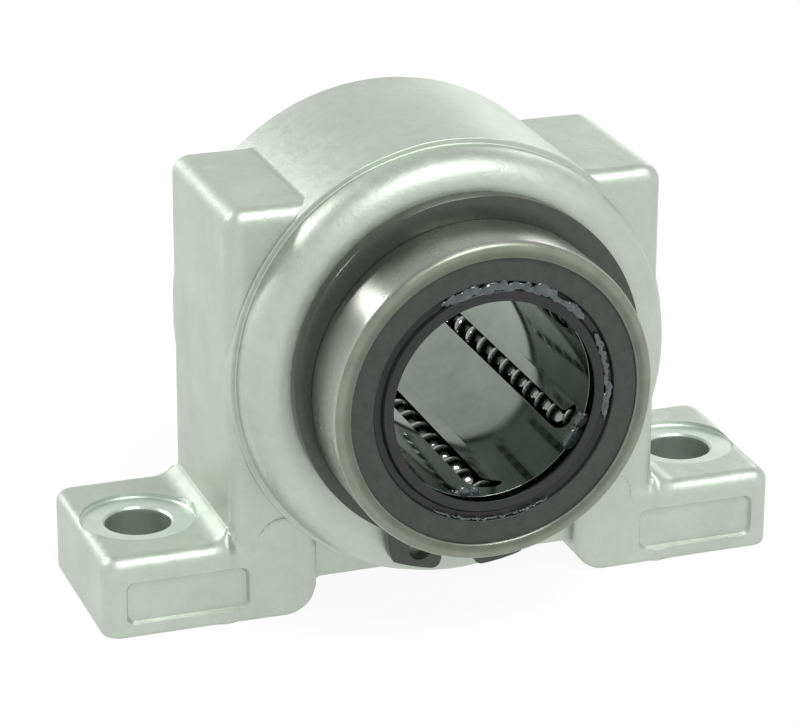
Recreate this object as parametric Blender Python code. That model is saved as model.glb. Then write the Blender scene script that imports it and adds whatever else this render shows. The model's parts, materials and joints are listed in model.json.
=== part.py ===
"""Pillow block unit for a 20 mm round shaft: a cast housing that holds a recirculating ball bushing.

The shaft runs along Y. The origin is on the base plane, midway between the two mounting holes.
"""

from math import acos, cos, pi, radians, sin, sqrt, tan

import bmesh
import bpy
from mathutils import Matrix, Vector

# Bushing: the standard 20 x 32 x 45 mm size.
SHAFT_RADIUS = 0.010
SLEEVE_RADIUS = 0.016
SLEEVE_LENGTH = 0.045
SLEEVE_BORE_RADIUS = 0.01436
SLEEVE_CHAMFER = 0.0008
CHAMFER_BREAK = 0.3
RACE_RADIUS = 0.01325
RACE_HALF_ANGLE = radians(11.0)
GROOVE_SPACING = 0.0312
GROOVE_WIDTH = 0.0016
GROOVE_RADIUS = 0.01515

# Ball circuits: a loaded row against the shaft, a return row outside it, and a half turn at each end.
CIRCUITS = 6
FIRST_CIRCUIT_ANGLE = radians(-90.0)
BALL_RADIUS = 0.0015875
BALL_PITCH = 0.0032
BALLS_PER_ROW = 10
TURN_RADIUS = 0.0024
TURN_BALL_ANGLE = radians(41.5)
LAST_BALL_TO_TURN = 0.00145
RETURN_ROW_RADIUS = 0.0127
CORE_RADIUS = 0.00035
BALL_SIDES = 6
BALL_LATITUDE = radians(34.0)

# Retainer, end rings and seals.
RETAINER_INNER_RADIUS = 0.01025
RETAINER_OUTER_RADIUS = 0.0130
RETAINER_HALF_LENGTH = 0.0204
TRACK_RADIUS = 0.00168
TRACK_SIDES = 8
TURN_STEPS = 6
END_RING_INNER_RADIUS = 0.0113
INSERT_OUTER_RADIUS = 0.01428
END_RING_FROM = 0.0205
END_RING_TO = 0.0212
SEAL_FROM = 0.0213
SEAL_TO = 0.0222
SEAL_BODY_RADIUS = 0.0113
SEAL_LIP_RADIUS = 0.0101
SEAL_LIP_THICKNESS = 0.00035

# Retaining rings.
CLIP_THICKNESS = 0.0015
CLIP_INNER_RADIUS = 0.0152
CLIP_OUTER_RADIUS = 0.0176
CLIP_ECCENTRICITY = 0.00065
CLIP_LUG_RADIUS = 0.0198
CLIP_GAP_HALF_ANGLE = radians(5.4)
CLIP_LUG_END = radians(19.0)
CLIP_NECK_END = radians(27.0)
CLIP_HOLE_ANGLE = radians(12.8)
CLIP_HOLE_CENTRE = 0.0179
CLIP_HOLE_RADIUS = 0.00115
CLIP_TURN = radians(3.4)
CLIP_LUG_STEPS = 12

# Housing.
AXIS_HEIGHT = 0.025
FOOT_LENGTH = 0.0703
FOOT_DEPTH = 0.0198
FOOT_HEIGHT = 0.0083
FOOT_CORNER_RADIUS = 0.0018
FOOT_EDGE_RADIUS = 0.0010
BLOCK_WIDTH = 0.0445
BLOCK_DEPTH = 0.0192
BLOCK_TOP = 0.0421
BLOCK_BASE = 0.0035
BLOCK_EDGE_RADIUS = 0.0010
BLOCK_SHOULDER_RADIUS = 0.0018
BARREL_RADIUS = 0.0223
BARREL_FRONT = -0.0100
BARREL_REAR = 0.0112
NOSE_RADIUS = 0.0217
NOSE_STEP = 0.0003
FRONT_ROLL_RADIUS = 0.0032
REAR_ROLL_RADIUS = 0.0024
NOSE_ROLL_STEPS = 5
SEAT = 0.0140
HOUSING_BORE_RADIUS = 0.0161
RELIEF_HALF_WIDTH = 0.0136
RELIEF_HEIGHT = 0.0030
RELIEF_CORNER_RADIUS = 0.0004
PAD_END_RADIUS = 0.0026
WEB_HALF_DEPTH = 0.0086
WEB_RECESS_TOP = 0.0090
PAD_SIDE_RADIUS = 0.0010
HOLE_SPACING = 0.058
HOLE_RADIUS = 0.0033
SPOT_FACE_RADIUS = 0.00575
SPOT_FACE_DEPTH = 0.0005
PANEL_DEPTH = 0.0004
PANEL_WIDTH = 0.0125
PANEL_HEIGHT = 0.0046
PANEL_CENTRE = (0.0268, 0.0042)

ROUND_STEPS = 48
HOLE_STEPS = 24
ARC_STEPS = 3
CUT_MARGIN = 0.002
SHARP_ANGLE = radians(35.0)


def clear_scene():
    for obj in list(bpy.data.objects):
        bpy.data.objects.remove(obj, do_unlink=True)


def make_material(name, colour, metallic, roughness):
    material = bpy.data.materials.new(name)
    material.use_nodes = True
    shader = material.node_tree.nodes["Principled BSDF"]
    shader.inputs["Base Color"].default_value = (*colour, 1.0)
    shader.inputs["Metallic"].default_value = metallic
    shader.inputs["Roughness"].default_value = roughness
    return material


def finish_mesh(name, bm):
    """Turns the bmesh into a mesh with outward faces, shaded smooth between its sharp edges."""
    bmesh.ops.recalc_face_normals(bm, faces=bm.faces)
    mesh = bpy.data.meshes.new(name)
    bm.to_mesh(mesh)
    bm.free()
    mesh.shade_smooth()
    mesh.set_sharp_from_angle(angle=SHARP_ANGLE)
    return mesh


def add_object(name, mesh, material, parent=None):
    obj = bpy.data.objects.new(name, mesh)
    bpy.context.scene.collection.objects.link(obj)
    obj.parent = parent
    if material and not mesh.materials:
        mesh.materials.append(material)
    return obj


def add_empty(name, location, parent=None):
    empty = bpy.data.objects.new(name, None)
    empty.empty_display_size = SHAFT_RADIUS
    empty.location = location
    empty.parent = parent
    bpy.context.scene.collection.objects.link(empty)
    return empty


def add_cutter(name, mesh, parent=None):
    cutter = add_object(name, mesh, None, parent)
    cutter.hide_render = True
    cutter.display_type = "WIRE"
    return cutter


def combine(obj, other, operation):
    modifier = obj.modifiers.new(other.name, "BOOLEAN")
    modifier.object = other
    modifier.operation = operation
    modifier.solver = "EXACT"


def join_loops(bm, first, second):
    """Fills the band between two loops of vertices, either of which may be a single pole."""
    count = max(len(first), len(second))
    for i in range(count):
        j = (i + 1) % count
        near = [first[i % len(first)], first[j % len(first)]]
        far = [second[j % len(second)], second[i % len(second)]]
        bm.faces.new(dict.fromkeys(near + far))


def revolved(name, profile, steps, closed):
    """Turns (along Y, radius) points about Y. A closed profile makes a ring, an open one ends in poles."""
    bm = bmesh.new()
    loops = []
    for along, radius in profile:
        angles = [2 * pi * i / steps for i in range(steps)] if radius else [0.0]
        loops.append([bm.verts.new((radius * cos(a), along, radius * sin(a))) for a in angles])
    ends = loops[1:] + loops[:1] if closed else loops[1:]
    for first, second in zip(loops, ends):
        join_loops(bm, first, second)
    return finish_mesh(name, bm)


def extruded(name, outline, start, end):
    """Extrudes an outline of (x, z) points along Y."""
    bm = bmesh.new()
    near = [bm.verts.new((x, start, z)) for x, z in outline]
    far = [bm.verts.new((x, end, z)) for x, z in outline]
    join_loops(bm, near, far)
    bm.faces.new(near)
    bm.faces.new(far)
    return finish_mesh(name, bm)


def fillet(before, corner, after, radius):
    """The arc of the given radius that rounds one corner of an outline."""
    to_before = (before - corner).normalized()
    to_after = (after - corner).normalized()
    half = to_before.angle(to_after) / 2
    centre = corner + (to_before + to_after).normalized() * (radius / sin(half))
    start = corner + to_before * (radius / tan(half)) - centre
    end = corner + to_after * (radius / tan(half)) - centre
    return [
        centre + start.lerp(end, i / ARC_STEPS).normalized() * radius
        for i in range(ARC_STEPS + 1)
    ]


def rounded_rectangle(width, height, radius):
    """Outline centred on the origin, in (x, z)."""
    signs = ((-1, -1), (1, -1), (1, 1), (-1, 1))
    corners = [Vector((sx * width / 2, sz * height / 2)) for sx, sz in signs]
    points = []
    for i, corner in enumerate(corners):
        points += fillet(corners[i - 1], corner, corners[(i + 1) % 4], radius)
    return [(p.x, p.y) for p in points]


def cylinder_along_z(name, radius, bottom, top, steps):
    bm = bmesh.new()
    bmesh.ops.create_cone(
        bm,
        cap_ends=True,
        segments=steps,
        radius1=radius,
        radius2=radius,
        depth=top - bottom,
        matrix=Matrix.Translation((0, 0, (top + bottom) / 2)),
    )
    return finish_mesh(name, bm)


def both_sides(half):
    """Mirrors a profile of (along Y, radius) points, given from the middle out to the +Y end."""
    return [(-along, radius) for along, radius in reversed(half)] + half


# --- Housing ---------------------------------------------------------------------------------


def foot_plate():
    """The base flange: a plate with rounded plan corners and a rounded top edge."""
    bm = bmesh.new()
    outline = rounded_rectangle(FOOT_LENGTH, FOOT_DEPTH, FOOT_CORNER_RADIUS)
    low = [bm.verts.new((x, y, 0.0)) for x, y in outline]
    high = [bm.verts.new((x, y, FOOT_HEIGHT)) for x, y in outline]
    join_loops(bm, low, high)
    bm.faces.new(low)
    top = bm.faces.new(high)
    bmesh.ops.bevel(
        bm, geom=list(top.edges), offset=FOOT_EDGE_RADIUS, segments=2, profile=0.5, affect="EDGES"
    )
    return finish_mesh("foot_plate", bm)


def across(edge, axis):
    """How far an edge reaches along one axis, to the nearest micrometre."""
    first, second = edge.verts
    return round(abs(getattr(first.co, axis) - getattr(second.co, axis)), 6)


def centre_block():
    """The square body around the barrel: round shoulders, then every other edge above the flange rounded."""
    bm = bmesh.new()
    height = BLOCK_TOP - BLOCK_BASE
    size = Matrix.Diagonal((BLOCK_WIDTH, BLOCK_DEPTH, height, 1))
    bmesh.ops.create_cube(bm, size=1.0, matrix=Matrix.Translation((0, 0, BLOCK_BASE + height / 2)) @ size)
    shoulders = [e for e in bm.edges if min(v.co.z for v in e.verts) > AXIS_HEIGHT and across(e, "x") == 0]
    bmesh.ops.bevel(
        bm, geom=shoulders, offset=BLOCK_SHOULDER_RADIUS, segments=2, profile=0.5, affect="EDGES"
    )
    rims = [e for e in bm.edges if max(v.co.z for v in e.verts) > AXIS_HEIGHT and across(e, "y") == 0]
    bmesh.ops.bevel(bm, geom=rims, offset=BLOCK_EDGE_RADIUS, segments=2, profile=0.5, affect="EDGES")
    return finish_mesh("centre_block", bm)


def rolled_nose(end, roll_radius):
    """The outline of the nose at one end, which rolls over to the retaining ring's seat."""
    outline = []
    for i in range(NOSE_ROLL_STEPS + 1):
        angle = pi / 2 * i / NOSE_ROLL_STEPS
        along = SEAT - roll_radius * (1 - sin(angle))
        outline.append((end * along, NOSE_RADIUS - roll_radius * (1 - cos(angle))))
    return outline + [(end * SEAT, 0.0)]


def barrel():
    """The round boss: a cylinder, longer at the rear, with a slightly smaller nose at each end."""
    middle = [
        (BARREL_FRONT - NOSE_STEP, NOSE_RADIUS),
        (BARREL_FRONT, BARREL_RADIUS),
        (BARREL_REAR, BARREL_RADIUS),
        (BARREL_REAR + NOSE_STEP, NOSE_RADIUS),
    ]
    outline = rolled_nose(-1, FRONT_ROLL_RADIUS)[::-1] + middle + rolled_nose(1, REAR_ROLL_RADIUS)
    return revolved("barrel", outline, ROUND_STEPS, closed=False)


def recess_between_pads(name, height, mouth_radius, start, end):
    """A channel between the two pads, up to a height, whose mouth at zero height opens with rounded edges."""
    wide = RELIEF_HALF_WIDTH + mouth_radius
    path = [
        Vector((wide + CUT_MARGIN, 0.0)),
        Vector((RELIEF_HALF_WIDTH, 0.0)),
        Vector((RELIEF_HALF_WIDTH, height)),
        Vector((0.0, height)),
    ]
    half = fillet(*path[:3], mouth_radius) + fillet(*path[1:], RELIEF_CORNER_RADIUS)
    outline = [(wide, -CUT_MARGIN)] + [(p.x, p.y) for p in half]
    outline += [(-x, z) for x, z in reversed(outline)]
    return extruded(name, outline, start, end)


def recess_webs(housing):
    """Sets the web between the pads back from their front and rear faces."""
    recess = recess_between_pads(
        "web_recess", FOOT_DEPTH / 2 - WEB_HALF_DEPTH, PAD_SIDE_RADIUS, -CUT_MARGIN, WEB_RECESS_TOP
    )
    for turn, tag in ((0.0, "rear"), (pi, "front")):
        cutter = add_cutter(f"web_recess_{tag}", recess)
        cutter.location.y = FOOT_DEPTH / 2 * cos(turn)
        cutter.rotation_euler = (pi / 2, 0.0, turn)
        combine(housing, cutter, "DIFFERENCE")


def build_housing(material):
    housing = add_object("housing", foot_plate(), material)
    combine(housing, add_cutter("centre_block", centre_block()), "UNION")
    recess_webs(housing)
    axis = add_empty("housing_axis", (0, 0, AXIS_HEIGHT))
    combine(housing, add_cutter("barrel", barrel(), axis), "UNION")
    reach = SEAT + CUT_MARGIN
    profile = both_sides([(reach, HOUSING_BORE_RADIUS), (reach, 0.0)])
    bore = revolved("housing_bore", profile, ROUND_STEPS, closed=False)
    combine(housing, add_cutter("housing_bore", bore, axis), "DIFFERENCE")
    relief = recess_between_pads("base_relief", RELIEF_HEIGHT, PAD_END_RADIUS, -FOOT_DEPTH, FOOT_DEPTH)
    combine(housing, add_cutter("base_relief", relief), "DIFFERENCE")
    hole = cylinder_along_z("mounting_hole", HOLE_RADIUS, -CUT_MARGIN, FOOT_HEIGHT, HOLE_STEPS)
    seat_height = FOOT_HEIGHT - SPOT_FACE_DEPTH
    spot = cylinder_along_z("spot_face", SPOT_FACE_RADIUS, seat_height, FOOT_HEIGHT + CUT_MARGIN, HOLE_STEPS)
    panel = extruded(
        "panel", rounded_rectangle(PANEL_WIDTH, PANEL_HEIGHT, FOOT_EDGE_RADIUS), -CUT_MARGIN, PANEL_DEPTH
    )
    for side, tag in ((-1, "left"), (1, "right")):
        for mesh in (hole, spot):
            cutter = add_cutter(f"{mesh.name}_{tag}", mesh)
            cutter.location.x = side * HOLE_SPACING / 2
            combine(housing, cutter, "DIFFERENCE")
        cutter = add_cutter(f"panel_{tag}", panel)
        cutter.location = (side * PANEL_CENTRE[0], -FOOT_DEPTH / 2, PANEL_CENTRE[1])
        combine(housing, cutter, "DIFFERENCE")
    return housing


# --- Bushing ---------------------------------------------------------------------------------


def circuit_frame(index):
    """One circuit's middle, the unit vector from its return row to its loaded row, and its turning axis."""
    angle = FIRST_CIRCUIT_ANGLE + 2 * pi * index / CIRCUITS
    loaded_radius = SHAFT_RADIUS + BALL_RADIUS
    apart = 2 * TURN_RADIUS
    between = acos(
        (loaded_radius**2 + RETURN_ROW_RADIUS**2 - apart**2) / (2 * loaded_radius * RETURN_ROW_RADIUS)
    )
    loaded = Vector((cos(angle), 0, sin(angle))) * loaded_radius
    returning = Vector((cos(angle + between), 0, sin(angle + between))) * RETURN_ROW_RADIUS
    across = (loaded - returning).normalized()
    return (loaded + returning) / 2, across, across.cross(Vector((0, 1, 0)))


def turn_centre():
    """Distance along Y from the middle of a circuit to the centre of its half turn."""
    return (BALLS_PER_ROW - 1) * BALL_PITCH / 2 + LAST_BALL_TO_TURN


def ball_string(name, count, pitch):
    """Balls in a line along Y, joined by a thin core so that they make one solid."""
    profile = [(-(count - 1) * pitch / 2 - BALL_RADIUS, 0.0)]
    reach = BALL_RADIUS * sin(BALL_LATITUDE)
    width = BALL_RADIUS * cos(BALL_LATITUDE)
    for i in range(count):
        centre = (i - (count - 1) / 2) * pitch
        if i:
            profile.append((centre - pitch / 2, CORE_RADIUS))
        profile += [(centre - reach, width), (centre + reach, width)]
    profile.append(((count - 1) * pitch / 2 + BALL_RADIUS, 0.0))
    return revolved(name, profile, BALL_SIDES, closed=False)


def build_sleeve(material, axis):
    """The hardened outer sleeve: two ring grooves outside, and one raised raceway for each circuit inside."""
    end = SLEEVE_LENGTH / 2
    groove_out = GROOVE_SPACING / 2
    groove_in = groove_out - GROOVE_WIDTH
    half = [
        (groove_in, SLEEVE_RADIUS),
        (groove_in, GROOVE_RADIUS),
        (groove_out, GROOVE_RADIUS),
        (groove_out, SLEEVE_RADIUS),
        (end - SLEEVE_CHAMFER, SLEEVE_RADIUS),
        (end - SLEEVE_CHAMFER * CHAMFER_BREAK, SLEEVE_RADIUS - SLEEVE_CHAMFER * CHAMFER_BREAK),
        (end, SLEEVE_RADIUS - SLEEVE_CHAMFER),
        (end, SLEEVE_BORE_RADIUS),
    ]
    tube = revolved("outer_sleeve", both_sides(half), ROUND_STEPS, closed=True)
    sleeve = add_object("outer_sleeve", tube, material, axis)
    wall = (SLEEVE_BORE_RADIUS + GROOVE_RADIUS) / 2
    angles = [RACE_HALF_ANGLE * (2 * i / ARC_STEPS - 1) for i in range(ARC_STEPS + 1)]
    outline = [(RACE_RADIUS * cos(a), RACE_RADIUS * sin(a)) for a in angles]
    outline += [(wall * cos(a), wall * sin(a)) for a in reversed(angles)]
    land = extruded("raceway", outline, -turn_centre(), turn_centre())
    for index in range(CIRCUITS):
        race = add_cutter(f"raceway_{index + 1}", land, axis)
        race.rotation_euler.y = -(FIRST_CIRCUIT_ANGLE + 2 * pi * index / CIRCUITS)
        combine(sleeve, race, "UNION")
    return sleeve


def track_tube():
    """A round channel along one closed circuit, in the plane of Y and X, with the loaded row at +X."""
    half_turn = []
    for i in range(TURN_STEPS + 1):
        angle = pi * i / TURN_STEPS
        half_turn.append((Vector((cos(angle), sin(angle), 0)), turn_centre()))
    route = half_turn + [(-direction, -shift) for direction, shift in half_turn]
    corner = TRACK_RADIUS / cos(pi / TRACK_SIDES)
    bm = bmesh.new()
    loops = []
    for direction, shift in route:
        middle = direction * TURN_RADIUS + Vector((0, shift, 0))
        loop = []
        for i in range(TRACK_SIDES):
            angle = 2 * pi * (i + 0.5) / TRACK_SIDES
            outward = direction * (corner * cos(angle))
            loop.append(bm.verts.new(middle + outward + Vector((0, 0, corner * sin(angle)))))
        loops.append(loop)
    for first, second in zip(loops, loops[1:] + loops[:1]):
        join_loops(bm, first, second)
    return finish_mesh("track", bm)


def build_retainer(material, axis):
    """The cage: a tube with one closed channel for each circuit, open to the shaft along its loaded row."""
    length = RETAINER_HALF_LENGTH
    profile = [
        (-length, RETAINER_INNER_RADIUS),
        (-length, RETAINER_OUTER_RADIUS),
        (length, RETAINER_OUTER_RADIUS),
        (length, RETAINER_INNER_RADIUS),
    ]
    tube = revolved("ball_retainer", profile, ROUND_STEPS, closed=True)
    retainer = add_object("ball_retainer", tube, material, axis)
    track = track_tube()
    for index in range(CIRCUITS):
        middle, across, normal = circuit_frame(index)
        cutter = add_cutter(f"track_{index + 1}", track, axis)
        columns = Matrix((across, Vector((0, 1, 0)), normal)).transposed()
        cutter.matrix_local = Matrix.Translation(middle) @ columns.to_4x4()
        combine(retainer, cutter, "DIFFERENCE")
    return retainer


def build_circuits(material, axis):
    """Every circuit's balls: two rows slide along Y, and each half turn's pair swings about its centre."""
    row = ball_string("ball_row", BALLS_PER_ROW, BALL_PITCH)
    turn = ball_string("turn_balls", 2, 2 * TURN_RADIUS * sin(TURN_BALL_ANGLE))
    turn.transform(Matrix.Translation((TURN_RADIUS * cos(TURN_BALL_ANGLE), 0, 0)))
    for index in range(CIRCUITS):
        middle, across, normal = circuit_frame(index)
        for kind, side in (("loaded", 1), ("return", -1)):
            balls = add_object(f"circuit_{index + 1}_{kind}_row", row, material, axis)
            balls.location = middle + across * (side * TURN_RADIUS)
        for kind, side in (("front", -1), ("rear", 1)):
            balls = add_object(f"circuit_{index + 1}_{kind}_turn", turn, material, axis)
            outward = Vector((0, side, 0))
            columns = Matrix((outward, normal.cross(outward), normal)).transposed()
            balls.matrix_local = Matrix.Translation(middle + outward * turn_centre()) @ columns.to_4x4()


def build_end_pieces(ring_material, seal_material, clip_material, axis):
    """The end ring, seal and retaining ring of each end. The rear ones are the front ones turned about Z."""
    ring = revolved(
        "end_ring",
        [
            (-END_RING_TO, END_RING_INNER_RADIUS),
            (-END_RING_TO, INSERT_OUTER_RADIUS),
            (-END_RING_FROM, INSERT_OUTER_RADIUS),
            (-END_RING_FROM, END_RING_INNER_RADIUS),
        ],
        ROUND_STEPS,
        closed=True,
    )
    seal = revolved(
        "seal",
        [
            (-SEAL_TO, SEAL_LIP_RADIUS),
            (-SEAL_TO, INSERT_OUTER_RADIUS),
            (-SEAL_FROM, INSERT_OUTER_RADIUS),
            (-SEAL_FROM, SEAL_BODY_RADIUS),
            (-SEAL_TO + SEAL_LIP_THICKNESS, SEAL_BODY_RADIUS),
            (-SEAL_TO + SEAL_LIP_THICKNESS, SEAL_LIP_RADIUS),
        ],
        ROUND_STEPS,
        closed=True,
    )
    clip = retaining_ring()
    for tag, half_turn in (("front", 0.0), ("rear", pi)):
        for name, mesh, material in (
            ("end_ring", ring, ring_material),
            ("seal", seal, seal_material),
            ("circlip", clip, clip_material),
        ):
            piece = add_object(f"{tag}_{name}", mesh, material, axis)
            piece.rotation_euler.z = half_turn
            if name == "circlip":
                piece.rotation_euler.y = CLIP_TURN
                cut_lug_holes(piece, tag)


def clip_edge(angle):
    """Outer radius of the retaining ring at an angle from the middle of its gap."""
    offset = CLIP_ECCENTRICITY
    ring = sqrt(CLIP_OUTER_RADIUS**2 - (offset * sin(angle)) ** 2) - offset * cos(angle)
    if angle <= CLIP_LUG_END:
        return CLIP_LUG_RADIUS
    if angle >= CLIP_NECK_END:
        return ring
    share = (angle - CLIP_LUG_END) / (CLIP_NECK_END - CLIP_LUG_END)
    return CLIP_LUG_RADIUS + (ring - CLIP_LUG_RADIUS) * share * share * (3 - 2 * share)


def retaining_ring():
    """An open ring, thickest opposite its gap, with a lug on each side of the gap. The gap faces -Z."""
    lug_sweep = CLIP_NECK_END - CLIP_GAP_HALF_ANGLE
    lug = [CLIP_GAP_HALF_ANGLE + lug_sweep * i / CLIP_LUG_STEPS for i in range(CLIP_LUG_STEPS)]
    arc_steps = ROUND_STEPS // 2
    arc = [CLIP_NECK_END + (pi - CLIP_NECK_END) * i / arc_steps for i in range(arc_steps)]
    side = lug + arc
    sweep = side + [pi] + [2 * pi - a for a in reversed(side)]
    outer = []
    inner = []
    for angle in sweep:
        reach = clip_edge(min(angle, 2 * pi - angle))
        outer.append((reach * sin(angle), -reach * cos(angle)))
        inner.append((CLIP_INNER_RADIUS * sin(angle), -CLIP_INNER_RADIUS * cos(angle)))
    middle = -(GROOVE_SPACING / 2 - GROOVE_WIDTH / 2)
    bm = bmesh.new()
    edges = []
    for along in (middle - CLIP_THICKNESS / 2, middle + CLIP_THICKNESS / 2):
        edges.append([bm.verts.new((x, along, z)) for x, z in outer])
        edges.append([bm.verts.new((x, along, z)) for x, z in inner])
    front_outer, front_inner, back_outer, back_inner = edges
    for i in range(len(sweep) - 1):
        j = i + 1
        bm.faces.new((front_outer[i], front_outer[j], front_inner[j], front_inner[i]))
        bm.faces.new((back_outer[i], back_outer[j], back_inner[j], back_inner[i]))
        bm.faces.new((front_outer[i], front_outer[j], back_outer[j], back_outer[i]))
        bm.faces.new((front_inner[i], front_inner[j], back_inner[j], back_inner[i]))
    for i in (0, -1):
        bm.faces.new((front_outer[i], front_inner[i], back_inner[i], back_outer[i]))
    return finish_mesh("retaining_ring", bm)


def cut_lug_holes(clip, tag):
    """The two holes that take the points of circlip pliers."""
    reach = GROOVE_SPACING / 2 + CUT_MARGIN
    near = GROOVE_SPACING / 2 - GROOVE_WIDTH - CUT_MARGIN
    profile = [(-reach, 0.0), (-reach, CLIP_HOLE_RADIUS), (-near, CLIP_HOLE_RADIUS), (-near, 0.0)]
    hole = revolved("lug_hole", profile, HOLE_STEPS // 2, closed=False)
    for number, angle in enumerate((-CLIP_HOLE_ANGLE, CLIP_HOLE_ANGLE), 1):
        cutter = add_cutter(f"lug_hole_{tag}_{number}", hole, clip)
        cutter.location = (CLIP_HOLE_CENTRE * sin(angle), 0, -CLIP_HOLE_CENTRE * cos(angle))
        combine(clip, cutter, "DIFFERENCE")


def main():
    clear_scene()
    aluminium = make_material("cast_aluminium", (0.62, 0.65, 0.61), 0.85, 0.45)
    ground_steel = make_material("ground_steel", (0.55, 0.54, 0.48), 1.0, 0.25)
    cage = make_material("cage_grey", (0.24, 0.26, 0.24), 0.3, 0.5)
    ball_steel = make_material("ball_steel", (0.45, 0.46, 0.45), 1.0, 0.12)
    ring_steel = make_material("end_ring_steel", (0.20, 0.21, 0.20), 0.8, 0.45)
    rubber = make_material("seal_rubber", (0.06, 0.065, 0.062), 0.0, 0.55)
    black_steel = make_material("phosphated_steel", (0.05, 0.05, 0.05), 0.6, 0.45)
    build_housing(aluminium)
    axis = add_empty("bushing_axis", (0, 0, AXIS_HEIGHT))
    build_sleeve(ground_steel, axis)
    build_retainer(cage, axis)
    build_circuits(ball_steel, axis)
    build_end_pieces(ring_steel, rubber, black_steel, axis)


main()
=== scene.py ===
"""Looks of a pillow block unit: a cast housing that holds a recirculating ball bushing.

Shapes are worked out in millimetres in the frame's own axes, with the shaft along Y and the feet on Z = 0.
Each is scaled to metres when it is finished.
"""

import json
from math import asin, cos, pi, radians, sin, sqrt

import bmesh
import bpy
import numpy as np
from mathutils import Matrix, Vector


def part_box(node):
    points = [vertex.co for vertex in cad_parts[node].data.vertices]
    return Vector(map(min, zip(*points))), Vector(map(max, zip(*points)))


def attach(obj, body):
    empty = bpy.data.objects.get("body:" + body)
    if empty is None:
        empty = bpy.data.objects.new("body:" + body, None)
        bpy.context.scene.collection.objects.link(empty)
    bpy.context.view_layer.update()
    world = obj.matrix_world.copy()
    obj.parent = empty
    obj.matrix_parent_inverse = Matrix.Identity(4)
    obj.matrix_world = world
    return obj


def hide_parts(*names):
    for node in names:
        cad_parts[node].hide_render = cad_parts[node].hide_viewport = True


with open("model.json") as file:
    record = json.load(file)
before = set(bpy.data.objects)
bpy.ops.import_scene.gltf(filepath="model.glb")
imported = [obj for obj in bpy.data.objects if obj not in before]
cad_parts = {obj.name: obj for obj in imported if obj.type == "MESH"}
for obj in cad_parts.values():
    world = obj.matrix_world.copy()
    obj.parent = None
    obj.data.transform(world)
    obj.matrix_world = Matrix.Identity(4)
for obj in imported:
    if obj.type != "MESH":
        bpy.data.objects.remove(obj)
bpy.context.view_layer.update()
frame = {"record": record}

MM = 0.001
HOUSING_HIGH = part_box("housing")[1] / MM
SLEEVE_LOW, SLEEVE_HIGH = (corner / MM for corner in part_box("outer_sleeve"))

# Bushing.
AXIS_HEIGHT = (SLEEVE_LOW.z + SLEEVE_HIGH.z) / 2
SLEEVE_RADIUS = (SLEEVE_HIGH.x - SLEEVE_LOW.x) / 2
SLEEVE_END = SLEEVE_HIGH.y
SLEEVE_BORE = 14.36
SLEEVE_EDGE = 0.75
SLEEVE_BORE_EDGE = 0.22
GROOVE_EDGE = 0.08
GROOVE_FROM = 14.0
GROOVE_TO = 15.6
GROOVE_RADIUS = 15.15
RACE_RADIUS = 13.25
RACE_HALF_ANGLE = radians(11.0)
RACE_END = 15.85
RACE_RUN_OUT = 0.4
CIRCUITS = 6
FIRST_CIRCUIT_ANGLE = radians(-90.0)
BALL_RADIUS = 1.5875
BALL_PITCH = 3.2
BALLS_PER_ROW = 10
LOADED_RADIUS = 10.0 + BALL_RADIUS
RETURN_RADIUS = 12.7
TURN_RADIUS = 2.4
TURN_CENTRE = RACE_END
TURN_BALL_ANGLE = radians(41.5)
TRACK_RADIUS = 1.68
RETAINER_INNER = 10.25
RETAINER_OUTER = 13.0
RETAINER_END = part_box("ball_retainer")[1].y / MM
RETAINER_BORE_EDGE = 0.07
RETAINER_EDGE = 0.2
RING_FROM = 20.5
RING_TO = 21.2
RING_INNER = 11.3
RING_OUTER = 14.28
RING_BORE_EDGE = 0.08
RING_EDGE = 0.1
SEAL_FACE = 22.2
SEAL_BACK = 21.3
SEAL_LIP_RADIUS = 10.1
SEAL_LIP_THICKNESS = 0.16
SEAL_GROOVE_INNER = 11.05
SEAL_GROOVE_OUTER = 12.1
SEAL_GROOVE_DEPTH = 0.5
SEAL_EDGE = 0.12
# Inside this radius the seal's colour carries painted shade.
SEAL_SHADE_RADIUS = 11.9

# Retaining rings.
CLIP_BACK = 14.05
CLIP_FRONT = 15.55
CLIP_INNER = 15.2
CLIP_OUTER = 17.6
CLIP_ECCENTRICITY = 0.65
CLIP_LUG_RADIUS = 19.8
CLIP_GAP_HALF_ANGLE = radians(5.4)
CLIP_GAP_HALF_WIDTH = 1.7
CLIP_LUG_CORNER = 1.0
CLIP_LUG_END = radians(19.0)
CLIP_NECK_END = radians(27.0)
CLIP_HOLE_ANGLE = radians(12.8)
CLIP_HOLE_CENTRE = 17.9
CLIP_HOLE_RADIUS = 1.15
CLIP_TURN = radians(3.4)
CLIP_EDGE = 0.12

# Housing.
FOOT_HALF_LENGTH = HOUSING_HIGH.x
FOOT_HALF_DEPTH = 9.9
FOOT_HEIGHT = 8.3
FOOT_CORNER = 1.8
FOOT_EDGE = 1.0
FOOT_FRONT_EDGE = 1.5
BLOCK_HALF_WIDTH = 22.25
BLOCK_HALF_DEPTH = 9.6
BLOCK_TOP = 42.1
BLOCK_EDGE = 0.9
BLOCK_FRONT_EDGE = 1.6
BLOCK_SHOULDER = 1.8
FOOT_FILLET = 2.6
CAST_FILLET = 0.5
FILLET_CHANGE = 0.6
BARREL_RADIUS = HOUSING_HIGH.z - AXIS_HEIGHT
BARREL_FRONT = 10.0
BARREL_REAR = 11.2
BARREL_EDGE = 0.12
NOSE_RADIUS = 21.7
NOSE_FILLET = 0.15
FRONT_ROLL = 3.2
REAR_ROLL = 2.4
FLANK_FLAT = 0.95
SEAT = HOUSING_HIGH.y
HOUSING_BORE = 16.1
BORE_CHAMFER = 0.25
PAD_INNER_END = 13.6
PAD_END_RADIUS = 3.4
PAD_SIDE_RADIUS = 1.0
PAD_CROWN_MIDDLE = PAD_INNER_END + 2.8
PAD_CROWN_WIDTH = 6.4
PAD_CROWN_TOP = 10.3
PAD_CROWN_RADIUS = 2.3
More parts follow.
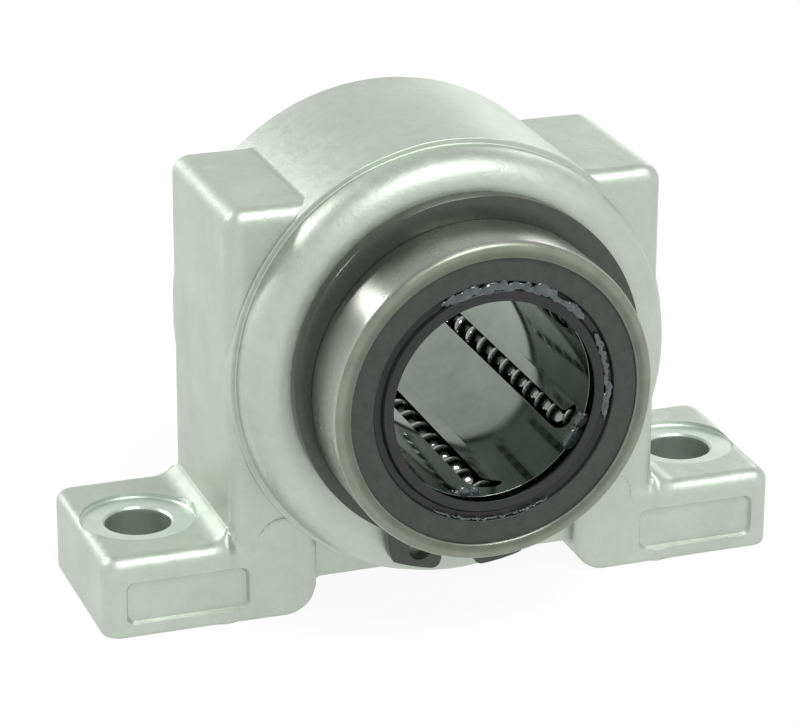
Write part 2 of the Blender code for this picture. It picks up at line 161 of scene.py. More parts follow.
CROWN_EDGE = 0.16
RELIEF_HEIGHT = 3.0
RELIEF_CORNER = 0.9
BARREL_LOWEST = RELIEF_HEIGHT - 0.15
WEB_HALF_DEPTH = 8.6
WEB_RECESS_TOP = 9.2
BASE_EDGE = 0.35
HOLE_X = 29.0
HOLE_RADIUS = 3.3
HOLE_EDGE = 0.2
SPOT_RADIUS = 5.75
SPOT_HEIGHT = 7.8
SPOT_CORNER = 0.15
SPOT_CUT_HEIGHT = 6.0
PANEL_CENTRE = (26.8, 3.6)
PANEL_SIZE = (12.4, 4.4)
PANEL_DEPTH = 0.4
PANEL_SLOPE = 0.22
PANEL_CORNER = 0.8

# How finely the shapes are made.
VOXEL = 0.34
ROUND_STEPS = 288
SLEEVE_STEPS = 360
HOLE_STEPS = 96
CLIP_HOLE_STEPS = 48
BARREL_BAND = 0.7
ARC_STEPS = 5
BARREL_ARC_STEPS = 12
SHARP_ANGLE = radians(30.0)
CUT_BEYOND = 1.0
SETTLING_ROUNDS = 7
LONGEST_MOVE = 0.6
GENTLEST_SLOPE = 0.2
SLOPE_STEP = 0.02
SKIN_TOLERANCE = 0.03


# --- Mesh helpers ----------------------------------------------------------------------------


def mesh_object(name, bm, sharp_angle=SHARP_ANGLE):
    """Makes an object from a bmesh in millimetres, shaded smooth between its sharp edges."""
    bmesh.ops.recalc_face_normals(bm, faces=bm.faces)
    mesh = bpy.data.meshes.new(name)
    bm.to_mesh(mesh)
    bm.free()
    mesh.shade_smooth()
    mesh.set_sharp_from_angle(angle=sharp_angle)
    obj = bpy.data.objects.new(name, mesh)
    bpy.context.scene.collection.objects.link(obj)
    return obj


def to_metres(obj):
    """Scales the mesh from millimetres to metres."""
    obj.data.transform(Matrix.Scale(MM, 4))
    return obj


def baked(obj):
    """Replaces the object's mesh with the result of its modifiers."""
    bpy.context.view_layer.update()
    evaluated = obj.evaluated_get(bpy.context.evaluated_depsgraph_get())
    mesh = bpy.data.meshes.new_from_object(evaluated)
    obj.modifiers.clear()
    obj.data = mesh
    return obj


def cut(obj, tool, operation="DIFFERENCE"):
    """Cuts one object's shape out of another, or joins it on, then removes it."""
    modifier = obj.modifiers.new(tool.name, "BOOLEAN")
    modifier.object = tool
    modifier.operation = operation
    modifier.solver = "MANIFOLD"
    baked(obj)
    bpy.data.objects.remove(tool)


def read_points(mesh):
    """The mesh's vertices as rows of an array."""
    points = np.empty(len(mesh.vertices) * 3)
    mesh.vertices.foreach_get("co", points)
    return points.reshape(-1, 3)


def write_points(mesh, points):
    """Moves the mesh's vertices to the rows of an array."""
    mesh.vertices.foreach_set("co", points.reshape(-1))
    mesh.update()


def filleted(points, steps=ARC_STEPS):
    """Rounds the corners of a closed outline of (u, v, radius) points. A zero radius stays a corner."""
    outline = []
    count = len(points)
    for i, (u, v, radius) in enumerate(points):
        corner = Vector((u, v))
        if not radius:
            outline.append((u, v))
            continue
        to_before = (Vector(points[i - 1][:2]) - corner).normalized()
        to_after = (Vector(points[(i + 1) % count][:2]) - corner).normalized()
        half = to_before.angle(to_after) / 2
        centre = corner + (to_before + to_after).normalized() * (radius / sin(half))
        reach = radius * cos(half) / sin(half)
        start = corner + to_before * reach - centre
        end = corner + to_after * reach - centre
        for k in range(steps + 1):
            point = centre + start.lerp(end, k / steps).normalized() * radius
            outline.append((point.x, point.y))
    return outline


def skin(bm, loops, closed=False):
    """Joins each loop of vertices to the next, and the last to the first, or else caps both ends."""
    following = loops[1:] + loops[:1] if closed else loops[1:]
    for first, second in zip(loops, following):
        for i in range(len(first)):
            j = (i + 1) % len(first)
            bm.faces.new((first[i], first[j], second[j], second[i]))
    if not closed:
        bm.faces.new(loops[0])
        bm.faces.new(loops[-1])


def circles(bm, outline, steps, height=0.0):
    """A circle of vertices about an axis along Y for each (along, radius) point."""
    angles = [2 * pi * i / steps for i in range(steps)]
    loops = []
    for along, radius in outline:
        loops.append([bm.verts.new((radius * cos(a), along, height + radius * sin(a))) for a in angles])
    return loops


def turned(name, outline, steps=ROUND_STEPS):
    """Turns a closed outline of (along, radius) points about the shaft axis."""
    bm = bmesh.new()
    skin(bm, circles(bm, outline, steps, AXIS_HEIGHT), closed=True)
    return mesh_object(name, bm)


def plug(name, outline, steps=ROUND_STEPS):
    """Turns an open outline of (along, radius) points, closed by a flat disc at each end, about Y."""
    bm = bmesh.new()
    skin(bm, circles(bm, outline, steps))
    return mesh_object(name, bm)


def rear_copy(obj, name):
    """A copy of a front piece, turned half round about Z to serve at the rear."""
    mesh = obj.data.copy()
    mesh.transform(Matrix.Rotation(pi, 4, "Z"))
    copy = bpy.data.objects.new(name, mesh)
    bpy.context.scene.collection.objects.link(copy)
    return copy


def waves(seed, count, shortest, longest):
    """Directions and phases for a smooth random surface ripple."""
    random = np.random.default_rng(seed)
    directions = random.normal(size=(count, 3))
    directions /= np.linalg.norm(directions, axis=1)[:, None]
    lengths = random.uniform(shortest, longest, count)
    return directions * (2 * pi / lengths)[:, None], random.uniform(0, 2 * pi, count)


def ripple(points, wave_set):
    """Height of the ripple at each point, between -1 and 1."""
    vectors, phases = wave_set
    return np.sin(points @ vectors.T + phases).mean(axis=1)


# --- Housing: a distance function for the casting, then machined cuts --------------------------


def rounded_box(u, v, half_u, half_v, radius):
    """Distance to a rectangle with rounded corners."""
    over_u = np.abs(u) - half_u + radius
    over_v = np.abs(v) - half_v + radius
    outside = np.hypot(np.maximum(over_u, 0), np.maximum(over_v, 0))
    return outside + np.minimum(np.maximum(over_u, over_v), 0) - radius


def union(a, b, radius):
    """Joins two shapes with a concave fillet."""
    near = np.hypot(np.maximum(radius - a, 0), np.maximum(radius - b, 0))
    return np.maximum(radius, np.minimum(a, b)) - near


def meet(a, b, radius):
    """Keeps what two shapes share, with a rounded edge."""
    far = np.hypot(np.maximum(radius + a, 0), np.maximum(radius + b, 0))
    return np.minimum(-radius, np.maximum(a, b)) + far


def smooth_step(value, low, high):
    """Rises smoothly from 0 at the low value to 1 at the high one."""
    share = np.clip((value - low) / (high - low), 0, 1)
    return share * share * (3 - 2 * share)


# The casting's faint ripple, which fades out above the machined base.
CAST_WAVES = waves(seed=11, count=26, shortest=2.2, longest=7.5)
CAST_RIPPLE = 0.06
RIPPLE_START = 0.3
RIPPLE_FULL = 1.2


def casting_distance(points):
    """Distance from the unmachined casting's skin, negative inside."""
    x, y, z = points.T
    ax = np.abs(x)
    ay = np.abs(y)
    front = 1 - smooth_step(y, -BLOCK_HALF_DEPTH / 2, BLOCK_HALF_DEPTH / 2)
    plan = rounded_box(x, y, FOOT_HALF_LENGTH, FOOT_HALF_DEPTH, FOOT_CORNER)
    foot = meet(plan, z - FOOT_HEIGHT, FOOT_EDGE + (FOOT_FRONT_EDGE - FOOT_EDGE) * front)
    profile = rounded_box(x, z, BLOCK_HALF_WIDTH, BLOCK_TOP, BLOCK_SHOULDER)
    block = meet(profile, ay - BLOCK_HALF_DEPTH, BLOCK_EDGE + (BLOCK_FRONT_EDGE - BLOCK_EDGE) * front)
    beside = smooth_step(ax, BLOCK_HALF_WIDTH - FILLET_CHANGE, BLOCK_HALF_WIDTH + FILLET_CHANGE)
    body = union(foot, block, CAST_FILLET + (FOOT_FILLET - CAST_FILLET) * beside)
    half_width, half_top = PAD_CROWN_WIDTH / 2, PAD_CROWN_TOP / 2
    crown = rounded_box(ax - PAD_CROWN_MIDDLE, z - half_top, half_width, half_top, PAD_CROWN_RADIUS)
    body = union(body, meet(crown, ay - FOOT_HALF_DEPTH, CROWN_EDGE), CROWN_EDGE)
    recess = np.maximum(np.maximum(ax - PAD_INNER_END, WEB_HALF_DEPTH - ay), z - WEB_RECESS_TOP)
    body = meet(body, -recess, PAD_SIDE_RADIUS)
    channel = rounded_box(x, z, PAD_INNER_END, RELIEF_HEIGHT, RELIEF_CORNER)
    underside = meet(-z, -channel, PAD_END_RADIUS)
    body = meet(body, underside, BASE_EDGE)
    above_base = smooth_step(z, RIPPLE_START, RIPPLE_FULL)
    return body + CAST_RIPPLE * above_base * ripple(points, CAST_WAVES)


def casting_slope(points):
    """Gradient of the distance, by central differences."""
    slope = np.empty_like(points)
    for axis in range(3):
        shift = np.zeros(3)
        shift[axis] = SLOPE_STEP
        ahead = casting_distance(points + shift)
        slope[:, axis] = (ahead - casting_distance(points - shift)) / (2 * SLOPE_STEP)
    return slope


def block_mesh(bm, low, high):
    """Adds a plain block between two corners."""
    size = Vector(high) - Vector(low)
    middle = (Vector(high) + Vector(low)) / 2
    matrix = Matrix.Translation(middle) @ Matrix.Diagonal((*size, 1))
    bmesh.ops.create_cube(bm, size=1.0, matrix=matrix)


def rough_casting():
    """Overlapping blocks near the casting's skin, remeshed into one even skin."""
    bm = bmesh.new()
    for side in (-1, 1):
        ends = sorted((side * PAD_INNER_END, side * FOOT_HALF_LENGTH))
        block_mesh(bm, (ends[0], -FOOT_HALF_DEPTH, 0), (ends[1], FOOT_HALF_DEPTH, FOOT_HEIGHT))
    wide = BLOCK_HALF_WIDTH
    block_mesh(bm, (-wide, -WEB_HALF_DEPTH, RELIEF_HEIGHT), (wide, WEB_HALF_DEPTH, FOOT_HEIGHT + 1))
    block_mesh(bm, (-wide, -BLOCK_HALF_DEPTH, FOOT_HEIGHT), (wide, BLOCK_HALF_DEPTH, BLOCK_TOP))
    obj = mesh_object("housing_casting", bm)
    remesh = obj.modifiers.new("even_skin", "REMESH")
    remesh.mode = "VOXEL"
    remesh.voxel_size = VOXEL
    return baked(obj)


def settle_on_casting(mesh):
    """Moves every vertex onto the casting's skin."""
    points = read_points(mesh)
    for _ in range(SETTLING_ROUNDS):
        distance = casting_distance(points)
        slope = casting_slope(points)
        steepness = np.maximum((slope**2).sum(axis=1), GENTLEST_SLOPE)
        move = np.clip(distance / steepness, -LONGEST_MOVE, LONGEST_MOVE)
        points -= slope * move[:, None]
    write_points(mesh, points)


CAST, MACHINED, FACED = range(3)


def marked(obj, finish):
    """Gives a piece of the housing its finish. A cutter's is the one that it leaves behind."""
    for name in ("cast", "machined", "faced"):
        obj.data.materials.append(bpy.data.materials.get(name) or bpy.data.materials.new(name))
    obj.data.polygons.foreach_set("material_index", [finish] * len(obj.data.polygons))
    return obj


def nose_outline(end, edge, roll):
    """The barrel's outline at one end: its edge, a small step, then a nose that rolls over to the seat."""
    return [
        (end * edge, BARREL_RADIUS, BARREL_EDGE),
        (end * edge, NOSE_RADIUS, NOSE_FILLET),
        (end * SEAT, NOSE_RADIUS, roll),
        (end * SEAT, HOUSING_BORE - 2, 0),
    ]


def build_barrel():
    """The round boss, longer and flattened on its flanks at the rear, with its own faint casting ripple."""
    front = nose_outline(-1, BARREL_FRONT, FRONT_ROLL)
    rear = nose_outline(1, BARREL_REAR, REAR_ROLL)
    outline = filleted(front[::-1] + rear, steps=BARREL_ARC_STEPS)
    bands = []
    for first, second in zip(outline, outline[1:]):
        pieces = max(1, round((Vector(second) - Vector(first)).length / BARREL_BAND))
        bands += [Vector(first).lerp(Vector(second), i / pieces) for i in range(pieces)]
    bands.append(Vector(outline[-1]))
    obj = plug("barrel", bands)
    obj.data.transform(Matrix.Translation((0, 0, AXIS_HEIGHT)))
    points = read_points(obj.data)
    spokes = points * (1, 0, 1) - (0, 0, AXIS_HEIGHT)
    spokes /= np.linalg.norm(spokes, axis=1)[:, None]
    points += spokes * (CAST_RIPPLE * ripple(points, CAST_WAVES))[:, None]
    points[:, 2] = np.maximum(points[:, 2], BARREL_LOWEST)
    flank = BARREL_RADIUS - FLANK_FLAT * smooth_step(points[:, 1], -BARREL_FRONT, BARREL_REAR / 2)
    points[:, 0] = np.clip(points[:, 0], -flank, flank)
    write_points(obj.data, points)
    return marked(obj, CAST)


def bore_cutter():
    """The turned bore, chamfered at both seats."""
    mouth = HOUSING_BORE + BORE_CHAMFER + CUT_BEYOND
    half = [(SEAT - BORE_CHAMFER, HOUSING_BORE), (SEAT + CUT_BEYOND, mouth)]
    outline = [(-along, radius) for along, radius in reversed(half)] + half
    cutter = plug("bore", outline)
    cutter.data.transform(Matrix.Translation((0, 0, AXIS_HEIGHT)))
    return marked(cutter, MACHINED)


def hole_cutter(side):
    """The mounting hole and the spot face round it."""
    outline = [
        (-CUT_BEYOND, HOLE_RADIUS),
        (SPOT_HEIGHT - HOLE_EDGE, HOLE_RADIUS),
        (SPOT_HEIGHT, HOLE_RADIUS + HOLE_EDGE),
        (SPOT_HEIGHT, SPOT_RADIUS - SPOT_CORNER),
        (SPOT_HEIGHT + SPOT_CORNER, SPOT_RADIUS),
        (SPOT_HEIGHT + SPOT_CUT_HEIGHT, SPOT_RADIUS),
    ]
    cutter = plug("mounting_hole", outline, steps=HOLE_STEPS)
    upright = Matrix.Translation((side * HOLE_X, 0, 0)) @ Matrix.Rotation(pi / 2, 4, "X")
    cutter.data.transform(upright)
    return marked(cutter, FACED)


def panel_cutter(side):
    """A shallow blank panel in the front of one foot, with sloping sides."""
    centre_x, centre_z = side * PANEL_CENTRE[0], PANEL_CENTRE[1]
    bottom, mouth, clear_of_foot = (PANEL_SLOPE, PANEL_DEPTH), (0.0, 0.0), (-0.3, -0.5)
    bm = bmesh.new()
    loops = []
    for inset, depth in (bottom, mouth, clear_of_foot):
        w, h = (side_length / 2 - inset for side_length in PANEL_SIZE)
        corners = filleted([(u, v, PANEL_CORNER) for u, v in ((-w, -h), (w, -h), (w, h), (-w, h))])
        y = depth - FOOT_HALF_DEPTH
        loops.append([bm.verts.new((centre_x + u, y, centre_z + v)) for u, v in corners])
    skin(bm, loops)
    return marked(mesh_object("panel", bm), CAST)


def shade_from_casting(mesh):
    """Gives the cast skin the distance function's own normals, so that cut edges leave no shading seams."""
    points = read_points(mesh)
    slope = casting_slope(points)
    slope /= np.maximum(np.linalg.norm(slope, axis=1), 1e-9)[:, None]
    on_skin = np.abs(casting_distance(points)) < SKIN_TOLERANCE
    vertex_of_loop = np.empty(len(mesh.loops), int)
    mesh.loops.foreach_get("vertex_index", vertex_of_loop)
    face_of_loop = np.repeat(np.arange(len(mesh.polygons)), [p.loop_total for p in mesh.polygons])
    finish = np.empty(len(mesh.polygons), int)
    mesh.polygons.foreach_get("material_index", finish)
    flat = np.empty(len(mesh.polygons) * 3)
    mesh.polygons.foreach_get("normal", flat)
    flat = flat.reshape(-1, 3)
    facing = (slope[vertex_of_loop] * flat[face_of_loop]).sum(axis=1) > 0.75
    use = (finish[face_of_loop] == CAST) & on_skin[vertex_of_loop] & facing
    normals = np.where(use[:, None], slope[vertex_of_loop], 0.0)
    mesh.normals_split_custom_set(normals.tolist())


def build_housing():
    """The casting joined to its barrel, then bored, drilled, faced and panelled."""
    obj = rough_casting()
    settle_on_casting(obj.data)
    marked(obj, CAST)
    cut(obj, build_barrel(), "UNION")
    cutters = [bore_cutter()]
    for side in (-1, 1):
        cutters += [hole_cutter(side), panel_cutter(side)]
    for cutter in cutters:
        cut(obj, cutter)
    obj.data.shade_smooth()
    obj.data.set_sharp_from_angle(angle=SHARP_ANGLE)
    for face in obj.data.polygons:
        if face.normal.z < -0.99 and face.center.z < 0.05:
            face.material_index = FACED
    shade_from_casting(obj.data)
    return to_metres(obj)


# --- Bushing -----------------------------------------------------------------------------------


def build_sleeve():
    """The hardened sleeve: ring grooves outside, raised raceways inside."""
    rear = [
        (GROOVE_FROM, SLEEVE_RADIUS, GROOVE_EDGE),
        (GROOVE_FROM, GROOVE_RADIUS, GROOVE_EDGE),
        (GROOVE_TO, GROOVE_RADIUS, GROOVE_EDGE),
        (GROOVE_TO, SLEEVE_RADIUS, GROOVE_EDGE),
        (SLEEVE_END, SLEEVE_RADIUS, SLEEVE_EDGE),
        (SLEEVE_END, SLEEVE_BORE, SLEEVE_BORE_EDGE),
        (RACE_END + RACE_RUN_OUT, SLEEVE_BORE, 0),
        (RACE_END, SLEEVE_BORE, 0),
    ]
    front = [(-along, radius, corner) for along, radius, corner in reversed(rear)]
    obj = turned("sleeve_ground", filleted(front + rear), steps=SLEEVE_STEPS)
    points = read_points(obj.data)
    x, y, z = points[:, 0], points[:, 1], points[:, 2] - AXIS_HEIGHT
    reach = np.hypot(x, z)
    turn = (np.arctan2(z, x) - FIRST_CIRCUIT_ANGLE + pi / CIRCUITS) % (2 * pi / CIRCUITS) - pi / CIRCUITS
    land = (np.abs(turn) < RACE_HALF_ANGLE) & (np.abs(y) <= RACE_END + 0.01) & (reach < SLEEVE_BORE + 0.01)
    scale = np.where(land, RACE_RADIUS / reach, 1.0)
    points[:, 0] = x * scale
    points[:, 2] = z * scale + AXIS_HEIGHT
    write_points(obj.data, points)
    obj.data.set_sharp_from_angle(angle=SHARP_ANGLE)
    return to_metres(obj)


def circuit_frame(index):
    """One circuit's middle, the unit vector from its return row to its loaded row, and its turning axis."""
    angle = FIRST_CIRCUIT_ANGLE + 2 * pi * index / CIRCUITS
    apart = 2 * TURN_RADIUS
    cosine = (LOADED_RADIUS**2 + RETURN_RADIUS**2 - apart**2) / (2 * LOADED_RADIUS * RETURN_RADIUS)
    turn = angle + np.arccos(cosine)
    loaded = Vector((cos(angle), 0, sin(angle))) * LOADED_RADIUS
    returning = Vector((cos(turn), 0, sin(turn))) * RETURN_RADIUS
    across = (loaded - returning).normalized()
    middle = (loaded + returning) / 2 + Vector((0, 0, AXIS_HEIGHT))
    return middle, across, across.cross(Vector((0, 1, 0)))


def track_cutter(index):
    """A round channel along one closed circuit."""
    middle, across, normal = circuit_frame(index)
    sides = 32
    turn_steps = 18
    bm = bmesh.new()
    route = []
    for end in (1, -1):
        for i in range(turn_steps + 1):
            angle = pi * i / turn_steps
            outward = across * (end * cos(angle)) + Vector((0, end * sin(angle), 0))
            route.append((outward, Vector((0, end * TURN_CENTRE, 0))))
    loops = []
    for outward, shift in route:
        centre = middle + shift + outward * TURN_RADIUS
        loop = []
        for k in range(sides):
            angle = 2 * pi * (k + 0.5) / sides
            spoke = outward * cos(angle) + normal * sin(angle)
            loop.append(bm.verts.new(centre + spoke * TRACK_RADIUS))
        loops.append(loop)
    skin(bm, loops, closed=True)
    return mesh_object("track", bm)


def build_retainer():
    """The cage: a tube with one closed ball channel for each circuit."""
    end = RETAINER_END
    outline = filleted(
        [
            (-end, RETAINER_INNER, RETAINER_BORE_EDGE),
            (-end, RETAINER_OUTER, RETAINER_EDGE),
            (end, RETAINER_OUTER, RETAINER_EDGE),
            (end, RETAINER_INNER, RETAINER_BORE_EDGE),
        ]
    )
    obj = turned("retainer_tube", outline)
    for index in range(CIRCUITS):
        cut(obj, track_cutter(index))
    obj.data.shade_smooth()
    obj.data.set_sharp_from_angle(angle=SHARP_ANGLE)
    return to_metres(obj)


def ball_group(name, centres):
    """Polished balls at the given centres."""
    bm = bmesh.new()
    for centre in centres:
        bmesh.ops.create_icosphere(bm, subdivisions=4, radius=BALL_RADIUS, matrix=Matrix.Translation(centre))
    return to_metres(mesh_object(name, bm, sharp_angle=pi))


def build_balls():
    """Each circuit's loaded row, return row and two half turns, as (piece, node) pairs."""
    made = []
    for index in range(CIRCUITS):
        middle, across, _ = circuit_frame(index)
        row = [(i - (BALLS_PER_ROW - 1) / 2) * BALL_PITCH for i in range(BALLS_PER_ROW)]
        for kind, side in (("loaded_row", 1), ("return_row", -1)):
            node = f"circuit_{index + 1}_{kind}"
            centres = [middle + across * (side * TURN_RADIUS) + Vector((0, along, 0)) for along in row]
            made.append((ball_group(f"{node}_balls", centres), node))
        for kind, end in (("front_turn", -1), ("rear_turn", 1)):
            node = f"circuit_{index + 1}_{kind}"
            centres = []
            for side in (-1, 1):
                outward = Vector((0, end * cos(TURN_BALL_ANGLE), 0)) + across * (side * sin(TURN_BALL_ANGLE))
                centres.append(middle + Vector((0, end * TURN_CENTRE, 0)) + outward * TURN_RADIUS)
            made.append((ball_group(f"{node}_balls", centres), node))
    return made


def build_seal():
    """The front wiper: a flat face, a groove round it, and a thin lip that would wipe the shaft."""
    outline = filleted(
        [
            (-SEAL_BACK, SLEEVE_BORE, 0.1),
            (-SEAL_FACE, SLEEVE_BORE, 0.04),
            (-SEAL_FACE, SEAL_GROOVE_OUTER, SEAL_EDGE),
            (-SEAL_FACE + SEAL_GROOVE_DEPTH - 0.05, SEAL_GROOVE_OUTER - 0.15, 0.1),
            (-SEAL_FACE + SEAL_GROOVE_DEPTH, SEAL_GROOVE_INNER + 0.25, SEAL_EDGE),
            (-SEAL_FACE, SEAL_GROOVE_INNER, SEAL_EDGE),
            (-SEAL_FACE, SEAL_LIP_RADIUS, 0.05),
            (-SEAL_FACE + SEAL_LIP_THICKNESS, SEAL_LIP_RADIUS, 0.05),
            (-SEAL_FACE + 0.3, 10.7, 0.1),
            (-SEAL_BACK, 11.2, 0.15),
        ]
    )
    return to_metres(turned("front_wiper_seal", outline))


def build_end_ring():
    """The plain steel ring behind the front seal, which holds the retainer in."""
    outline = filleted(
        [
            (-RING_TO, RING_INNER, RING_BORE_EDGE),
            (-RING_TO, RING_OUTER, RING_EDGE),
            (-RING_FROM, RING_OUTER, RING_EDGE),
            (-RING_FROM, RING_INNER, RING_BORE_EDGE),
        ]
    )
    return to_metres(turned("front_end_plate", outline))


def clip_reach(angle):
    """Outer radius of the retaining ring at an angle from the middle of its gap."""
    ring = sqrt(CLIP_OUTER**2 - (CLIP_ECCENTRICITY * sin(angle)) ** 2) - CLIP_ECCENTRICITY * cos(angle)
    if angle <= CLIP_LUG_END:
        short = max(0.0, CLIP_LUG_CORNER - (angle - CLIP_GAP_HALF_ANGLE) * CLIP_LUG_RADIUS)
        return CLIP_LUG_RADIUS - CLIP_LUG_CORNER + sqrt(CLIP_LUG_CORNER**2 - short**2)
    if angle >= CLIP_NECK_END:
        return ring
    return CLIP_LUG_RADIUS + (ring - CLIP_LUG_RADIUS) * smooth_step(angle, CLIP_LUG_END, CLIP_NECK_END)


def build_clip():
    """The front retaining ring: stamped, so its edges are rounded a little, with two plier holes."""
    lug_steps, arc_steps = 40, 150
    lug_sweep = CLIP_NECK_END - CLIP_GAP_HALF_ANGLE
    half = [CLIP_GAP_HALF_ANGLE + lug_sweep * i / lug_steps for i in range(lug_steps)]
    half += [CLIP_NECK_END + (pi - CLIP_NECK_END) * i / arc_steps for i in range(arc_steps)]
    bm = bmesh.new()
    sections = []
    for angle in half + [pi] + [2 * pi - a for a in reversed(half)]:
        from_gap = min(angle, 2 * pi - angle)
        outer = clip_reach(from_gap)
        section = filleted(
            [
                (-CLIP_BACK, CLIP_INNER, CLIP_EDGE),
                (-CLIP_FRONT, CLIP_INNER, CLIP_EDGE),
                (-CLIP_FRONT, outer, CLIP_EDGE),
                (-CLIP_BACK, outer, CLIP_EDGE),
            ],
            steps=3,
        )
        side = 1 if angle < pi else -1
        near = 1 - smooth_step(from_gap, CLIP_GAP_HALF_ANGLE, CLIP_HOLE_ANGLE)
        loop = []
        for y, r in section:
            parallel = asin(CLIP_GAP_HALF_WIDTH / r) - CLIP_GAP_HALF_ANGLE
            turn = angle + side * near * parallel + CLIP_TURN
            loop.append(bm.verts.new((-r * sin(turn), y, AXIS_HEIGHT - r * cos(turn))))
        sections.append(loop)
    skin(bm, sections)
    obj = mesh_object("front_retaining_clip", bm)
    for side in (-1, 1):
        turn = CLIP_TURN + side * CLIP_HOLE_ANGLE
        ends = [(y, CLIP_HOLE_RADIUS) for y in (-CLIP_FRONT - CUT_BEYOND, -CLIP_BACK + CUT_BEYOND)]
        hole = plug("plier_hole", ends, steps=CLIP_HOLE_STEPS)
        x = -CLIP_HOLE_CENTRE * sin(turn)
        hole.data.transform(Matrix.Translation((x, 0, AXIS_HEIGHT - CLIP_HOLE_CENTRE * cos(turn))))
        cut(obj, hole)
    obj.data.shade_smooth()
    obj.data.set_sharp_from_angle(angle=SHARP_ANGLE)
    return to_metres(obj)


# Grease, as (name, from angle, to angle, distance from the axis, Y, thickness, bead spacing in degrees).
GREASE = (
    ("upper_groove", 40, 118, 11.5, -22.0, 0.36, 1.5),
    ("right_groove", -16, 30, 11.5, -22.0, 0.30, 1.6),
    ("lower_groove", 236, 300, 11.9, -22.1, 0.12, 0.8),
    ("lower_row", 250, 268, 10.3, -20.1, 0.50, 2.2),
    ("upper_row", 322, 343, 10.3, -20.2, 0.52, 2.2),
)
GREASE_VOXEL = 0.09
GREASE_TAPER = 8
GREASE_TIP = 0.4


def grease_bead(name, start, end, radius, along, thickness, spacing, seed):
    """A lumpy smear of grease along an arc round the axis: overlapping blobs melted into one skin."""
    random = np.random.default_rng(seed)
    bm = bmesh.new()
    for degrees in np.arange(start, end, spacing):
        from_end = min(degrees - start, end - degrees)
        fade = min(1.0, from_end / GREASE_TAPER + GREASE_TIP)
        size = thickness * fade * random.uniform(0.55, 1.15)
        reach = radius + random.uniform(-0.8, 0.8) * thickness
        angle = radians(degrees)
        place = Vector((reach * cos(angle), along + random.uniform(-0.3, 0.3) * thickness, 0))
        place.z = AXIS_HEIGHT + reach * sin(angle)
        matrix = Matrix.Translation(place) @ Matrix.Rotation(-angle, 4, "Y")
        matrix @= Matrix.Diagonal((random.uniform(0.8, 1.6), 0.7, random.uniform(1.1, 2.2), 1.0))
        bmesh.ops.create_icosphere(bm, subdivisions=3, radius=size, matrix=matrix)
    obj = mesh_object(name, bm, sharp_angle=pi)
    remesh = obj.modifiers.new("melt", "REMESH")
    remesh.mode = "VOXEL"
    remesh.voxel_size = GREASE_VOXEL
    remesh.use_smooth_shade = True
    smooth = obj.modifiers.new("soften", "SMOOTH")
    smooth.factor = 0.5
    smooth.iterations = 3
    return to_metres(baked(obj))


# --- Materials ---------------------------------------------------------------------------------


class Nodes:
    """A short way to write a node material."""

    def __init__(self, name):
        self.material = bpy.data.materials.get(name) or bpy.data.materials.new(name)
        self.material.use_nodes = True
        self.tree = self.material.node_tree
        self.shader = self.tree.nodes["Principled BSDF"]
        self.place = self.add("ShaderNodeTexCoord").outputs["Object"]

    def add(self, kind, **settings):
        """Adds a node. Each setting is one of its properties or, failing that, one of its inputs."""
        node = self.tree.nodes.new(kind)
        for key, value in settings.items():
            if hasattr(node, key):
                setattr(node, key, value)
            else:
                node.inputs[key.replace("_", " ").title()].default_value = value
        return node

    def link(self, output, target):
        self.tree.links.new(output, target)

    def noise(self, scale, detail=3.0, roughness=0.5, stretch=None, distortion=0.0):
        """Noise over the object's own place, in features per millimetre."""
        node = self.add("ShaderNodeTexNoise", scale=scale / MM, detail=detail, roughness=roughness)
        node.inputs["Distortion"].default_value = distortion
        place = self.place
        if stretch:
            mapping = self.add("ShaderNodeMapping")
            mapping.inputs["Scale"].default_value = stretch
            self.link(place, mapping.inputs["Vector"])
            place = mapping.outputs["Vector"]
        self.link(place, node.inputs["Vector"])
        return node.outputs["Fac"]

    def ramp(self, source, stops):
        """Colours or grey levels along a source, as (position, colour) stops."""
        node = self.add("ShaderNodeValToRGB")
        elements = node.color_ramp.elements
        while len(elements) < len(stops):
            elements.new(0.5)
        for element, (position, colour) in zip(elements, stops):
            element.position = position
            element.color = (*colour, 1) if isinstance(colour, tuple) else (colour, colour, colour, 1)
        self.link(source, node.inputs["Fac"])
        return node.outputs["Color"]

    def multiply(self, share, first, second):
        """The first colour, multiplied by the second to the given share."""
        node = self.add("ShaderNodeMix", data_type="RGBA", blend_type="MULTIPLY")
        node.inputs["Factor"].default_value = share
        self.link(first, node.inputs[6])
        self.link(second, node.inputs[7])
        return node.outputs[2]

    def maths(self, operation, first, second=0.0):
        node = self.add("ShaderNodeMath", operation=operation)
        for value, socket in ((first, node.inputs[0]), (second, node.inputs[1])):
            if isinstance(value, bpy.types.NodeSocket):
                self.link(value, socket)
            else:
                socket.default_value = value
        return node.outputs[0]

    def bump(self, height, distance, strength, under=None):
        """A bump of so many millimetres, on top of another if one is given."""
        node = self.add("ShaderNodeBump")
        node.inputs["Distance"].default_value = distance * MM
        node.inputs["Strength"].default_value = strength
        self.link(height, node.inputs["Height"])
        if under:
            self.link(under, node.inputs["Normal"])
        return node.outputs["Normal"]

    def axis_distance(self):
        """Distance from the shaft axis, in millimetres."""
        split = self.add("ShaderNodeSeparateXYZ")
        self.link(self.place, split.inputs[0])
        drop = self.maths("SUBTRACT", split.outputs["Z"], AXIS_HEIGHT * MM)
        aside = self.maths("POWER", split.outputs["X"], 2.0)
        square = self.maths("ADD", aside, self.maths("POWER", drop, 2.0))
        return self.maths("DIVIDE", self.maths("SQRT", square), MM)

    def finish(self, colour, roughness, normal, **constants):
        """Links or sets what the shader takes, and hands back the material."""
        inputs = self.shader.inputs
        for value, key in ((colour, "Base Color"), (roughness, "Roughness"), (normal, "Normal")):
            if isinstance(value, bpy.types.NodeSocket):
                self.link(value, inputs[key])
            elif value is not None:
                inputs[key].default_value = value
        for key, value in constants.items():
            inputs[key.replace("_", " ").title()].default_value = value
        return self.material


